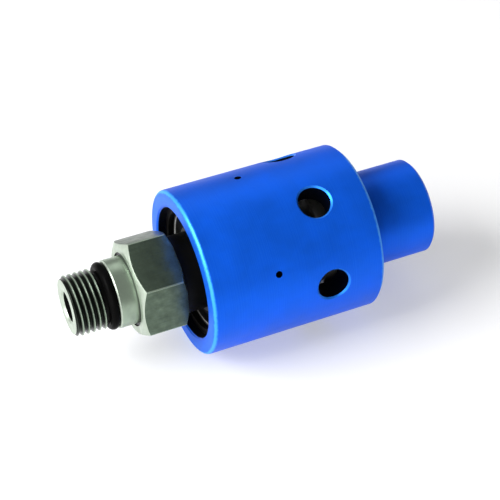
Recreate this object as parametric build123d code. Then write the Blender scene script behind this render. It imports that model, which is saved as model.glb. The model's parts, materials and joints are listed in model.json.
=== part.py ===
from build123d import *
import math
import os

# A rotary union for coolant or hydraulic fluid. The X axis is the axis of rotation, from the rotor's
# thread towards the hose port. The origin is on the axis, in the rotor's seating face. Sizes are in mm.

# Fits and clearances
seat_clearance = 0.01         # radial, between pressed or clamped round pieces
running_clearance = 0.05      # radial, where a piece slides or turns in another
lip_clearance = 0.10          # radial, at the bearing seals' lips
ring_play = 0.1               # axial play of a retaining ring in its groove

# Rotor: the spindle end
thread_dia = 16.0
thread_length = 8.1
tip_chamfer = 0.8
o_ring_land_depth = 1.5       # below the thread's outside
o_ring_land = 3.3
o_ring_section = 2.4
pilot_dia = 18.0
pilot_length = 4.8
pilot_chamfer = 0.3
face_relief_width = 0.8
face_relief_depth = 0.4
rotor_bore_dia = 8.0
rotor_bore_chamfer = 0.5

# Rotor: the hexagon
hex_across_flats = 24.0
hex_length = 12.0
hex_front_cut = 0.5           # how far the front chamfer's circle lies inside the flats
hex_rear_overhang = 0.3       # how far the rear chamfer's circle lies outside them
hex_chamfer_angle = 30.0
hex_vertex_angle = 25.0

# Rotor: the shaft in the bearings
collar_shoulder = 1.75        # height of the shoulder that the front bearing's inner ring stands on
journal_end_land = 1.4
journal_chamfer = 0.4

# Bearings: two alike, sealed, with snap-in cages
bearing_bore_dia = 17.0
bearing_outer_dia = 35.0
bearing_width = 8.0
bearing_corner = 0.4
ball_dia = 4.762
ball_count = 9
race_clearance = 0.05
race_shoulder_depth = 0.78    # how far a raceway is cut below its ring's shoulder
seal_setback = 0.3
seal_thickness = 0.7
seal_seat_step = 0.7
seal_lip_width = 0.9
seal_lip_thickness = 0.3
cage_side_gap = 0.8           # from the cage to either ring's shoulder
cage_end_gap = 0.25           # from the cage's closed side to the seal
cage_front = 1.2
cage_pocket_clearance = 0.1

# Between the bearings
bearing_gap = 7.7
inner_spacer_wall = 1.9
outer_spacer_wall = 2.2
outer_spacer_chamfer = 0.6
wave_height = 2.0
wave_strip_thickness = 0.5
wave_strip_width = 2.2
wave_edge_clearance = 0.25
wave_count = 3
points_per_wave = 8

# Retaining rings
housing_ring_thickness = 1.5
housing_ring_width = 2.6
housing_ring_groove_depth = 1.0
housing_ring_gap_angle = 34.0
housing_ring_turn = 110.0
housing_ring_lug_dia = 4.6
housing_ring_lug_hole_dia = 2.2
rotor_ring_thickness = 1.0
rotor_ring_width = 2.0
rotor_ring_groove_depth = 0.4
rotor_ring_gap_angle = 50.0
rotor_ring_turn = 20.0
rotor_ring_lug_dia = 3.4
rotor_ring_lug_hole_dia = 1.6

# Slinger
slinger_rim_gap = 1.3
slinger_thickness = 1.2
slinger_rim_thickness = 0.6
slinger_hub_width = 3.6

# Face seal
rotor_nose_wall = 1.7         # round the rotating seal ring
seal_ring_bore_step = 0.5     # how much wider than the rotor's bore a seal ring's bore is, on the radius
rotating_seal_length = 4.0
rotating_seal_seat = 2.5
stationary_seal_step = 1.2    # how far the stationary ring stands out past the rotating one
stationary_seal_length = 3.5
stationary_seal_seat = 2.0
seal_face_width = 1.5
seal_nose_length = 0.8

# Floating carrier
carrier_head_gap = 2.0        # from the head to the seal chamber's wall
carrier_head_length = 3.6
carrier_tube_wall = 2.5
carrier_tube_length = 14.0
carrier_chamfer = 0.4
carrier_travel = 1.2
carrier_stop_gap = 0.2
gland_width = 2.5
gland_depth = 1.4
gland_from_end = 2.7
backup_ring_width = 0.9
squeeze_corner = 0.3          # share of the squeezed O-ring's height that its corners take
drive_pin_dia = 2.5
drive_pin_inset = 1.1         # from the head's rim to the pins' circle
drive_pin_grip = 4.5
drive_pin_setback = 0.4
drive_pin_count = 2
drive_slot_clearance = 0.15

# Seal spring, of flat wire
spring_wire_width = 1.0       # along the axis
spring_wire_depth = 1.2       # across it
spring_bore_gap = 1.7         # from the carrier's tube to the spring
spring_side_gap = 0.6         # from the spring to its pocket
spring_turns = 3.5
spring_pocket_depth = 5.0
spring_end_flat = 0.25        # share of the wire's width ground off each end

# Housing
housing_dia = 44.0
housing_length = 47.4
housing_to_seat = 15.0        # from the rotor's seating face to the housing's front
front_ring_depth = 2.6
housing_edge_round = 0.6
housing_mouth_chamfer = 0.4
housing_rear_chamfer = 0.8
bearing_stop = 2.0            # height of the shoulder that stops the rear bearing's outer ring
boss_dia = 25.5
boss_length = 19.8
boss_edge_chamfer = 0.7
port_bore_dia = 15.0
port_mouth_chamfer = 1.1
port_depth = 12.0
passage_step = 0.5            # how much wider than the rotor's bore the passage is, on the radius
vent_dia = 8.5
vent_chamfer = 0.45
vent_count = 6
vent_first_angle = 54.5
weep_dia = 1.8
weep_setback = 1.45           # from the rear bearing towards the front
weep_spread = 40.0            # angle from a vent to the weep hole on either side of it
cut_margin = 1.0              # how far a cutting tool runs past the surface that it cuts

# Places along the axis
tip_x = -(pilot_length + o_ring_land + thread_length)
o_ring_land_x = -(pilot_length + o_ring_land)
housing_front_x = housing_to_seat
front_ring_x = housing_front_x + front_ring_depth
front_bearing_x = front_ring_x + housing_ring_thickness
front_bearing_end_x = front_bearing_x + bearing_width
rear_bearing_x = front_bearing_end_x + bearing_gap
rear_bearing_end_x = rear_bearing_x + bearing_width
rotor_ring_x = rear_bearing_end_x + slinger_thickness
rotor_end_x = rotor_ring_x + rotor_ring_thickness + journal_end_land
rotating_seal_x = rotor_end_x - rotating_seal_seat
seal_plane_x = rotating_seal_x + rotating_seal_length
carrier_x = seal_plane_x + stationary_seal_length - stationary_seal_seat
carrier_head_end_x = carrier_x + carrier_head_length
carrier_end_x = carrier_head_end_x + carrier_tube_length
chamber_end_x = carrier_head_end_x + carrier_travel + carrier_stop_gap
spring_floor_x = chamber_end_x + spring_pocket_depth
carrier_bore_end_x = carrier_end_x + carrier_travel + carrier_stop_gap
housing_rear_x = housing_front_x + housing_length
boss_end_x = housing_rear_x + boss_length
port_floor_x = boss_end_x - port_depth
gland_end_x = carrier_end_x - gland_from_end
gland_x = gland_end_x - gland_width

# Radii that several pieces share
bore_r = rotor_bore_dia / 2
land_r = thread_dia / 2 - o_ring_land_depth
journal_r = bearing_bore_dia / 2
collar_r = journal_r + collar_shoulder
bearing_seat_r = bearing_outer_dia / 2
ball_r = ball_dia / 2
pitch_r = (journal_r + bearing_seat_r) / 2
race_r = ball_r + race_clearance
inner_shoulder_r = pitch_r - race_r + race_shoulder_depth
outer_shoulder_r = pitch_r + race_r - race_shoulder_depth
seal_seat_r = outer_shoulder_r + seal_seat_step
cage_wall = outer_shoulder_r - inner_shoulder_r - 2 * cage_side_gap
cage_back = bearing_width / 2 - seal_setback - seal_thickness - cage_end_gap
chamber_r = bearing_seat_r - bearing_stop
slinger_r = chamber_r - slinger_rim_gap
rotating_seal_r = journal_r - rotor_nose_wall
stationary_seal_r = rotating_seal_r + stationary_seal_step
seal_bore_r = bore_r + seal_ring_bore_step
carrier_head_r = chamber_r - carrier_head_gap
carrier_tube_r = bore_r + carrier_tube_wall
carrier_slide_r = carrier_tube_r + running_clearance
gland_floor_r = carrier_tube_r - gland_depth
drive_pin_circle_r = carrier_head_r - drive_pin_inset
spring_inner_r = carrier_tube_r + spring_bore_gap
spring_outer_r = spring_inner_r + spring_wire_depth
spring_pocket_r = spring_outer_r + spring_side_gap
passage_r = bore_r + passage_step
weep_x = rear_bearing_x - weep_setback


def turned(points):
    """A solid of revolution about X from its outline, given as (x, radius) points."""
    outline = Wire.make_polygon([(x, r, 0) for x, r in points], close=True)
    return revolve(Face(outline), Axis.X, 360)


def tube(x_start, x_end, inner_r, outer_r):
    """A plain ring between two places on the axis."""
    return turned([(x_start, inner_r), (x_end, inner_r), (x_end, outer_r), (x_start, outer_r)])


def disc(x_start, x_end, radius):
    """A plain cylinder along the axis."""
    return turned([(x_start, 0), (x_end, 0), (x_end, radius), (x_start, radius)])


def torus_at(x, ring_r, section_r):
    """A ring of round section about X."""
    section = Plane.XY * Pos(x, ring_r) * Circle(section_r)
    return revolve(section, Axis.X, 360)


def around(angle, solid):
    """The solid turned about X, counted from +Y towards +Z."""
    return Rot(X=angle) * solid


def radial_drill(x, angle, diameter, inner_r, outer_r):
    """A drill that points outwards from the axis."""
    drill = Pos(X=x, Z=(inner_r + outer_r) / 2) * Cylinder(diameter / 2, outer_r - inner_r)
    return around(angle - 90, drill)


def evenly(count, first=0.0):
    """Angles of pieces that stand evenly round the axis."""
    return [first + 360 * i / count for i in range(count)]


def housing():
    """One turned block: front bore, vented seal chamber, rear wall and boss with the hose port."""
    outer_r = housing_dia / 2
    boss_r = boss_dia / 2
    port_r = port_bore_dia / 2
    seat_r = bearing_seat_r + seat_clearance
    groove_r = seat_r + housing_ring_groove_depth
    groove_end_x = front_bearing_x + ring_play
    body = turned([
        (housing_front_x, seat_r + housing_mouth_chamfer),
        (housing_front_x, outer_r),
        (housing_rear_x - housing_rear_chamfer, outer_r),
        (housing_rear_x, outer_r - housing_rear_chamfer),
        (housing_rear_x, boss_r),
        (boss_end_x - boss_edge_chamfer, boss_r),
        (boss_end_x, boss_r - boss_edge_chamfer),
        (boss_end_x, port_r + port_mouth_chamfer),
        (boss_end_x - port_mouth_chamfer, port_r),
        (port_floor_x, port_r),
        (port_floor_x, passage_r),
        (carrier_bore_end_x, passage_r),
        (carrier_bore_end_x, carrier_slide_r),
        (spring_floor_x, carrier_slide_r),
        (spring_floor_x, spring_pocket_r),
        (chamber_end_x, spring_pocket_r),
        (chamber_end_x, chamber_r),
        (rear_bearing_end_x, chamber_r),
        (rear_bearing_end_x, seat_r),
        (groove_end_x, seat_r),
        (groove_end_x, groove_r),
        (front_ring_x, groove_r),
        (front_ring_x, seat_r),
        (housing_front_x + housing_mouth_chamfer, seat_r),
    ])
    front_edge = [e for e in body.edges() if on_circle(e, housing_front_x, outer_r)]
    body = fillet(front_edge, housing_edge_round)
    drill_end_r = outer_r + cut_margin
    for angle in evenly(vent_count, vent_first_angle):
        body -= radial_drill(seal_plane_x, angle, vent_dia, chamber_r - cut_margin, drill_end_r)
    mouths = [e for e in body.edges() if is_vent_mouth(e)]
    body = chamfer(mouths, vent_chamfer)
    for angle in weep_angles():
        body -= radial_drill(weep_x, angle, weep_dia, seat_r - cut_margin, drill_end_r)
    for angle in evenly(drive_pin_count):
        body -= around(angle, drive_pin(seat_clearance))
    return body


def on_circle(edge, x, radius):
    """Whether an edge is the full circle of this radius about X."""
    box = edge.bounding_box()
    flat = abs(box.min.X - x) < 1e-3 and abs(box.max.X - x) < 1e-3
    return flat and abs(box.max.Z - radius) < 1e-3


def is_vent_mouth(edge):
    """Whether an edge is where a vent breaks out of the housing's outside."""
    box = edge.bounding_box()
    middle = box.center()
    spans_vent = abs(box.size.X - vent_dia) < 0.01 and abs(middle.X - seal_plane_x) < 0.01
    return spans_vent and math.hypot(middle.Y, middle.Z) > (housing_dia / 2 + chamber_r) / 2


def weep_angles():
    """The weep holes stand in pairs, one each side of two opposite vents."""
    middles = [vent_first_angle + 60, vent_first_angle + 240]
    return [middle + side * weep_spread for middle in middles for side in (-1, 1)]


def rotor():
    """The turned shaft with its hexagon."""
    thread_r = thread_dia / 2
    pilot_r = pilot_dia / 2
    seat_r = rotating_seal_r + seat_clearance
    groove_r = journal_r - rotor_ring_groove_depth
    groove_end_x = rotor_ring_x + rotor_ring_thickness + ring_play
    shaft = turned([
        (tip_x, bore_r + rotor_bore_chamfer),
        (tip_x, thread_r - tip_chamfer),
        (tip_x + tip_chamfer, thread_r),
        (o_ring_land_x, thread_r),
        (o_ring_land_x, land_r),
        (-pilot_length, land_r),
        (-pilot_length, pilot_r - pilot_chamfer),
        (-pilot_length + pilot_chamfer, pilot_r),
        (face_relief_depth, pilot_r),
        (face_relief_depth, collar_r),
        (front_bearing_x, collar_r),
        (front_bearing_x, journal_r),
        (rotor_ring_x, journal_r),
        (rotor_ring_x, groove_r),
        (groove_end_x, groove_r),
        (groove_end_x, journal_r),
        (rotor_end_x - journal_chamfer, journal_r),
        (rotor_end_x, journal_r - journal_chamfer),
        (rotor_end_x, seat_r),
        (rotating_seal_x, seat_r),
        (rotating_seal_x, bore_r),
        (tip_x + rotor_bore_chamfer, bore_r),
    ])
    return shaft + hexagon()


def hexagon():
    """The spanner hexagon, chamfered at both ends, with a relief ring round the pilot."""
    flat_r = hex_across_flats / 2
    flats = RegularPolygon(flat_r, 6, major_radius=False, rotation=hex_vertex_angle)
    block = extrude(Plane.YZ * flats, hex_length)
    front_r = flat_r - hex_front_cut
    rear_r = flat_r + hex_rear_overhang
    outer_r = hex_across_flats / math.sqrt(3) + cut_margin
    slope = math.tan(math.radians(hex_chamfer_angle))
    block &= turned([
        (0, 0),
        (0, front_r),
        ((outer_r - front_r) * slope, outer_r),
        (hex_length - (outer_r - rear_r) * slope, outer_r),
        (hex_length, rear_r),
        (hex_length, 0),
    ])
    core_r = (collar_r + pilot_dia / 2) / 2
    relief_r = pilot_dia / 2 + face_relief_width
    block -= disc(-cut_margin, hex_length + cut_margin, core_r)
    block -= disc(-cut_margin, face_relief_depth, relief_r)
    return block


def rotor_o_ring():
    """The static seal that lies against the pilot's front edge."""
    section_r = o_ring_section / 2
    ring_r = land_r + section_r + seat_clearance
    return torus_at(-pilot_length - section_r, ring_r, section_r)


def bearing_outer_ring(x):
    """Outer ring, with a raceway and a step at each side for its seal."""
    end = x + bearing_width
    seat = seal_setback + seal_thickness
    ring = turned([
        (x, seal_seat_r),
        (x, bearing_seat_r - bearing_corner),
        (x + bearing_corner, bearing_seat_r),
        (end - bearing_corner, bearing_seat_r),
        (end, bearing_seat_r - bearing_corner),
        (end, seal_seat_r),
        (end - seat, seal_seat_r),
        (end - seat, outer_shoulder_r),
        (x + seat, outer_shoulder_r),
        (x + seat, seal_seat_r),
    ])
    return ring - torus_at(x + bearing_width / 2, pitch_r, race_r)


def bearing_inner_ring(x):
    """Inner ring, with a raceway."""
    end = x + bearing_width
    seat_r = journal_r + seat_clearance
    ring = turned([
        (x, seat_r + bearing_corner),
        (x, inner_shoulder_r),
        (end, inner_shoulder_r),
        (end, seat_r + bearing_corner),
        (end - bearing_corner, seat_r),
        (x + bearing_corner, seat_r),
    ])
    return ring - torus_at(x + bearing_width / 2, pitch_r, race_r)


def bearing_balls(x):
    """The set of balls on the pitch circle."""
    ball = Pos(x + bearing_width / 2, pitch_r, 0) * Sphere(ball_r)
    return [around(angle, ball) for angle in evenly(ball_count)]


def bearing_cage(x):
    """Snap-in cage: a ring in front of the balls, with pockets that are open at the rear."""
    middle = x + bearing_width / 2
    half_wall = cage_wall / 2
    ring = tube(middle - cage_back, middle + cage_front, pitch_r - half_wall, pitch_r + half_wall)
    reach = cage_wall + cut_margin
    pocket_dia = ball_dia + 2 * cage_pocket_clearance
    for angle in evenly(ball_count):
        ring -= radial_drill(middle, angle, pocket_dia, pitch_r - reach, pitch_r + reach)
    return ring


def bearing_seal(face_x, inwards):
    """Rubber seal in the outer ring's step. Its lip runs on the inner ring. inwards is +1 or -1."""
    outside = face_x + inwards * seal_setback
    inside = outside + inwards * seal_thickness
    lip_outside = inside - inwards * seal_lip_thickness
    lip_r = inner_shoulder_r + lip_clearance
    return turned([
        (outside, seal_seat_r - seat_clearance),
        (inside, seal_seat_r - seat_clearance),
        (inside, lip_r),
        (lip_outside, lip_r),
        (outside, lip_r + seal_lip_width),
    ])


def bearing_spacer_inner():
    """Sleeve on the rotor between the two inner rings."""
    seat_r = journal_r + seat_clearance
    return tube(front_bearing_end_x, rear_bearing_x, seat_r, seat_r + inner_spacer_wall)


def bearing_spacer_outer():
    """Ring in the housing behind the front bearing. Its rear edge is cut away below the weep holes."""
    end = rear_bearing_x - wave_height
    return turned([
        (front_bearing_end_x, bearing_seat_r - outer_spacer_wall),
        (end, bearing_seat_r - outer_spacer_wall),
        (end, bearing_seat_r - outer_spacer_chamfer),
        (end - outer_spacer_chamfer, bearing_seat_r),
        (front_bearing_end_x, bearing_seat_r),
    ])


def wave_spring():
    """Wavy strip that presses the two outer rings apart."""
    outer_r = bearing_seat_r - wave_edge_clearance
    inner_r = outer_r - wave_strip_width
    middle = rear_bearing_x - wave_height / 2
    swing = (wave_height - wave_strip_thickness) / 2
    sides = []
    for offset in (-wave_strip_thickness / 2, wave_strip_thickness / 2):
        inner = wave_line(middle + offset, inner_r, swing)
        outer = wave_line(middle + offset, outer_r, swing)
        sides.append((inner, outer))
    (near_inner, near_outer), (far_inner, far_outer) = sides
    faces = [
        Face.make_surface_from_curves(near_inner, near_outer),
        Face.make_surface_from_curves(far_inner, far_outer),
        Face.make_surface_from_curves(near_inner, far_inner),
        Face.make_surface_from_curves(near_outer, far_outer),
    ]
    return Solid(Shell(faces))


def wave_line(x, radius, swing):
    """One closed wavy edge of the strip."""
    steps = wave_count * points_per_wave
    points = []
    for i in range(steps):
        turn = 2 * math.pi * i / steps
        height = x + swing * math.cos(wave_count * turn)
        points.append((height, radius * math.cos(turn), radius * math.sin(turn)))
    return Spline(*points, periodic=True)


def retaining_ring(x, thickness, inner_r, outer_r, gap_angle, lug_r, lug_dia, hole_dia):
    """Open ring with an eye at each end for the pliers. The gap is at +Y."""
    ring = tube(x, x + thickness, inner_r, outer_r)
    reach = 2 * outer_r
    half = math.radians(gap_angle / 2)
    wedge = Wire.make_polygon([
        (x - cut_margin, 0, 0),
        (x - cut_margin, reach * math.cos(half), reach * math.sin(half)),
        (x - cut_margin, reach * math.cos(half), -reach * math.sin(half)),
    ], close=True)
    ring -= extrude(Face(wedge), thickness + 2 * cut_margin, dir=(1, 0, 0))
    for side in (-1, 1):
        eye_place = Pos(x + thickness / 2, 0, 0) * Rot(X=side * gap_angle / 2) * Pos(Y=lug_r) * Rot(Y=90)
        ring += eye_place * Cylinder(lug_dia / 2, thickness)
        ring -= eye_place * Cylinder(hole_dia / 2, thickness + cut_margin)
    return ring


def housing_retaining_ring():
    """Holds the bearings in the housing. Its eyes point inwards."""
    outer_r = bearing_seat_r + housing_ring_groove_depth - seat_clearance
    inner_r = outer_r - housing_ring_width
    lug_r = bearing_seat_r - housing_ring_lug_dia / 2 - running_clearance
    ring = retaining_ring(front_ring_x, housing_ring_thickness, inner_r, outer_r, housing_ring_gap_angle,
                          lug_r, housing_ring_lug_dia, housing_ring_lug_hole_dia)
    return around(housing_ring_turn, ring)


def rotor_retaining_ring():
    """Holds the slinger and the inner rings on the rotor. Its eyes point outwards."""
    inner_r = journal_r - rotor_ring_groove_depth + seat_clearance
    outer_r = inner_r + rotor_ring_width
    lug_r = journal_r + rotor_ring_lug_dia / 2 + running_clearance
    ring = retaining_ring(rotor_ring_x, rotor_ring_thickness, inner_r, outer_r, rotor_ring_gap_angle,
                          lug_r, rotor_ring_lug_dia, rotor_ring_lug_hole_dia)
    return around(rotor_ring_turn, ring)


def slinger():
    """Disc that throws leakage outwards, dished away from the bearing."""
    seat_r = journal_r + seat_clearance
    hub_r = seat_r + slinger_hub_width
    end = rear_bearing_end_x + slinger_thickness
    return turned([
        (rear_bearing_end_x, seat_r),
        (rear_bearing_end_x, hub_r),
        (end, slinger_r),
        (end + slinger_rim_thickness, slinger_r),
        (end, hub_r),
        (end, seat_r),
    ])


def rotating_seal_ring():
    """Seal ring seated in the rotor's rear end."""
    return tube(rotating_seal_x, seal_plane_x, seal_bore_r, rotating_seal_r)


def stationary_seal_ring():
    """Seal ring in the carrier, with a narrow nose that runs on the rotating ring."""
    nose_r = seal_bore_r + seal_face_width
    return turned([
        (seal_plane_x, seal_bore_r),
        (seal_plane_x + stationary_seal_length, seal_bore_r),
        (seal_plane_x + stationary_seal_length, stationary_seal_r),
        (seal_plane_x + seal_nose_length, stationary_seal_r),
        (seal_plane_x + seal_nose_length, nose_r),
        (seal_plane_x, nose_r),
    ])


def seal_carrier():
    """Tube that floats along the axis, with a slotted head that holds the stationary seal ring."""
    seat_r = stationary_seal_r + seat_clearance
    body = turned([
        (carrier_x, seat_r),
        (carrier_x, carrier_head_r - carrier_chamfer),
        (carrier_x + carrier_chamfer, carrier_head_r),
        (carrier_head_end_x, carrier_head_r),
        (carrier_head_end_x, carrier_tube_r),
        (gland_x, carrier_tube_r),
        (gland_x, gland_floor_r),
        (gland_end_x, gland_floor_r),
        (gland_end_x, carrier_tube_r),
        (carrier_end_x - carrier_chamfer, carrier_tube_r),
        (carrier_end_x, carrier_tube_r - carrier_chamfer),
        (carrier_end_x, bore_r),
        (carrier_x + stationary_seal_seat, bore_r),
        (carrier_x + stationary_seal_seat, seat_r),
    ])
    for angle in evenly(drive_pin_count):
        body -= around(angle, drive_slot())
    return body


def drive_slot():
    """The cut in the carrier's head that a drive pin stands in: round at its root, open at the rim."""
    slot_r = drive_pin_dia / 2 + drive_slot_clearance
    length = carrier_head_length + 2 * cut_margin
    middle = (carrier_x + carrier_head_end_x) / 2
    root = Pos(middle, drive_pin_circle_r, 0) * Rot(Y=90) * Cylinder(slot_r, length)
    run = Pos(middle, drive_pin_circle_r + carrier_head_r / 2, 0) * Box(length, carrier_head_r, 2 * slot_r)
    return root + run


def carrier_o_ring():
    """Seals the carrier's tube in the housing. Squeezed in its groove, its section is an octagon."""
    outer_r = carrier_slide_r - running_clearance
    inner_r = gland_floor_r + seat_clearance
    corner = (outer_r - inner_r) * squeeze_corner
    end = gland_end_x - backup_ring_width
    return turned([
        (gland_x, inner_r + corner),
        (gland_x + corner, inner_r),
        (end - corner, inner_r),
        (end, inner_r + corner),
        (end, outer_r - corner),
        (end - corner, outer_r),
        (gland_x + corner, outer_r),
        (gland_x, outer_r - corner),
    ])


def carrier_backup_ring():
    """Keeps the O-ring out of the gap behind it."""
    start = gland_end_x - backup_ring_width
    return tube(start, gland_end_x, gland_floor_r + seat_clearance, carrier_slide_r - running_clearance)


def drive_pin(growth=0.0):
    """One pin, pressed into the housing's rear wall, that stands in a slot of the carrier's head."""
    start = carrier_x + drive_pin_setback
    end = chamber_end_x + drive_pin_grip
    along_x = Pos((start + end) / 2, drive_pin_circle_r, 0) * Rot(Y=90)
    return along_x * Cylinder(drive_pin_dia / 2 + growth, end - start)


def drive_pins():
    """The pins that keep the carrier from turning."""
    return [around(angle, drive_pin()) for angle in evenly(drive_pin_count)]


def seal_spring():
    """Compression spring round the carrier's tube, with its end coils ground flat."""
    length = spring_floor_x - carrier_head_end_x
    overlap = spring_wire_width * spring_end_flat
    rise = length - 2 * overlap
    mean_r = (spring_inner_r + spring_outer_r) / 2
    foot = (carrier_head_end_x + overlap, 0, 0)
    line = Helix(rise / spring_turns, rise, mean_r, center=foot, direction=(1, 0, 0))
    across_wire = Plane(origin=line @ 0, x_dir=(1, 0, 0), z_dir=line % 0)
    coil = sweep(across_wire * Rectangle(spring_wire_width, spring_wire_depth), path=line, is_frenet=True)
    inner_r = spring_inner_r - cut_margin
    outer_r = spring_outer_r + cut_margin
    return coil & tube(carrier_head_end_x, spring_floor_x, inner_r, outer_r)


def write(name, shape):
    """Write one node. A list of shapes becomes a node of separate solids."""
    solids = []
    for piece in shape if isinstance(shape, list) else [shape]:
        solids += piece.solids()
    node = solids[0] if len(solids) == 1 else Compound(children=solids)
    export_step(node, f"parts/{name}.step")


os.makedirs("parts", exist_ok=True)
write("housing", housing())
write("rotor", rotor())
write("rotor_o_ring", rotor_o_ring())
for place, start_x in (("front", front_bearing_x), ("rear", rear_bearing_x)):
    write(f"{place}_bearing_outer_ring", bearing_outer_ring(start_x))
    write(f"{place}_bearing_inner_ring", bearing_inner_ring(start_x))
    write(f"{place}_bearing_balls", bearing_balls(start_x))
    write(f"{place}_bearing_cage", bearing_cage(start_x))
    write(f"{place}_bearing_front_seal", bearing_seal(start_x, 1))
    write(f"{place}_bearing_rear_seal", bearing_seal(start_x + bearing_width, -1))
write("bearing_spacer_inner", bearing_spacer_inner())
write("bearing_spacer_outer", bearing_spacer_outer())
write("wave_spring", wave_spring())
write("housing_retaining_ring", housing_retaining_ring())
write("rotor_retaining_ring", rotor_retaining_ring())
write("slinger", slinger())
write("rotating_seal_ring", rotating_seal_ring())
write("stationary_seal_ring", stationary_seal_ring())
write("seal_carrier", seal_carrier())
write("carrier_o_ring", carrier_o_ring())
write("carrier_backup_ring", carrier_backup_ring())
write("seal_spring", seal_spring())
write("drive_pins", drive_pins())
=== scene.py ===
"""Dresses a packed rotary union: turned, drilled and threaded metal, seals, bearings and a plain stage."""

import json
import math

import bmesh
import bpy
from bpy.props import FloatProperty, FloatVectorProperty, IntProperty, PointerProperty
from mathutils import Matrix, Vector


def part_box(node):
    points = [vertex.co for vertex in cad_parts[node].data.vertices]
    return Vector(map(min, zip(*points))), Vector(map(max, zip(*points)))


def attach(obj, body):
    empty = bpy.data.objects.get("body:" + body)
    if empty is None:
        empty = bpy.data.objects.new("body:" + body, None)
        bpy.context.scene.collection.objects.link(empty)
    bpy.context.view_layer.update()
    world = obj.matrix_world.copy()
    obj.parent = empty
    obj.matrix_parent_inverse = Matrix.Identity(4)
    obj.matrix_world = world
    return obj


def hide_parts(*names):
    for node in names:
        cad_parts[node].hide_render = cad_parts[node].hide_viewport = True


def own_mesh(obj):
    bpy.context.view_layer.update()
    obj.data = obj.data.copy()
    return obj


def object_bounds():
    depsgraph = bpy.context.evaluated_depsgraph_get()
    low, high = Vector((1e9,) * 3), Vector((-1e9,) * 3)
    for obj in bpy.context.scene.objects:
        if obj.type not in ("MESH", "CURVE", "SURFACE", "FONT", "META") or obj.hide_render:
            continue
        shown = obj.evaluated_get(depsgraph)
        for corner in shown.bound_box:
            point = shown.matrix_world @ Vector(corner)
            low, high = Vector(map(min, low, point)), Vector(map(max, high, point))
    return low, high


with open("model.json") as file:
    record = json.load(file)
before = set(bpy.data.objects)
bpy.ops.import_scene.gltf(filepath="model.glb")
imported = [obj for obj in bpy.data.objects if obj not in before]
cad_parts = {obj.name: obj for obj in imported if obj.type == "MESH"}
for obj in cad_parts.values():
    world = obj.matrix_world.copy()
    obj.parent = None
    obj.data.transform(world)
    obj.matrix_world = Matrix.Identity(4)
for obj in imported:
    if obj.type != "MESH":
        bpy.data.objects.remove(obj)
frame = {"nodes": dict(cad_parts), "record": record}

bl_info = {
    "name": "Rotary Union Dresser",
    "version": (1, 0, 0),
    "blender": (4, 5, 0),
    "location": "View3D > Sidebar > Union",
    "description": "Builds the finished pieces of a rotary union around its packed solids",
    "category": "Object",
}

CAD_LOW, CAD_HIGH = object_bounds()
MM = 0.001
AXIS = Vector((1, 0, 0))
ORIGIN = Vector((0, 0, 0))
SHARP_ANGLE = math.radians(28)
MERGE_DISTANCE = 0.0005 * MM
SLIVER = 0.001 * MM
FINE_TURNING, COARSE_TURNING, HOUSING_TURNING = 192, 128, 256
MOUNTS = {mount["name"]: mount for mount in frame["record"]["mounts"]}


def ends_of(node):
    """Where a round piece starts and ends along the axis, and its outer radius."""
    low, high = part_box(node)
    return low.x, high.x, high.y


def mount_radius(name):
    """The radius that the record gives a mount."""
    return MOUNTS[name]["dims"]["r_mm"] * MM


HOUSING_FRONT, PORT_FACE, HOUSING_RADIUS = ends_of("housing")
ROTOR_TIP, ROTOR_END, HEX_REACH = ends_of("rotor")
O_RING_FRONT, O_RING_BACK, O_RING_RADIUS = ends_of("rotor_o_ring")
FRONT_RING_START, _, BEARING_RADIUS = ends_of("front_bearing_outer_ring")
_, REAR_RING_END, _ = ends_of("rear_bearing_outer_ring")
HOUSING_RING_START, HOUSING_RING_END, HOUSING_RING_RADIUS = ends_of("housing_retaining_ring")
ROTOR_RING_START, ROTOR_RING_END, _ = ends_of("rotor_retaining_ring")
SEAL_START, SEAL_END, SEAL_RADIUS = ends_of("rotating_seal_ring")
_, CARRIER_END, _ = ends_of("seal_carrier")
SPRING_START, SPRING_END, SPRING_RADIUS = ends_of("seal_spring")
THREAD_RADIUS = mount_radius("rotor_thread")
PILOT_RADIUS = mount_radius("rotor_pilot")
PORT_RADIUS = mount_radius("inlet_port")


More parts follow.
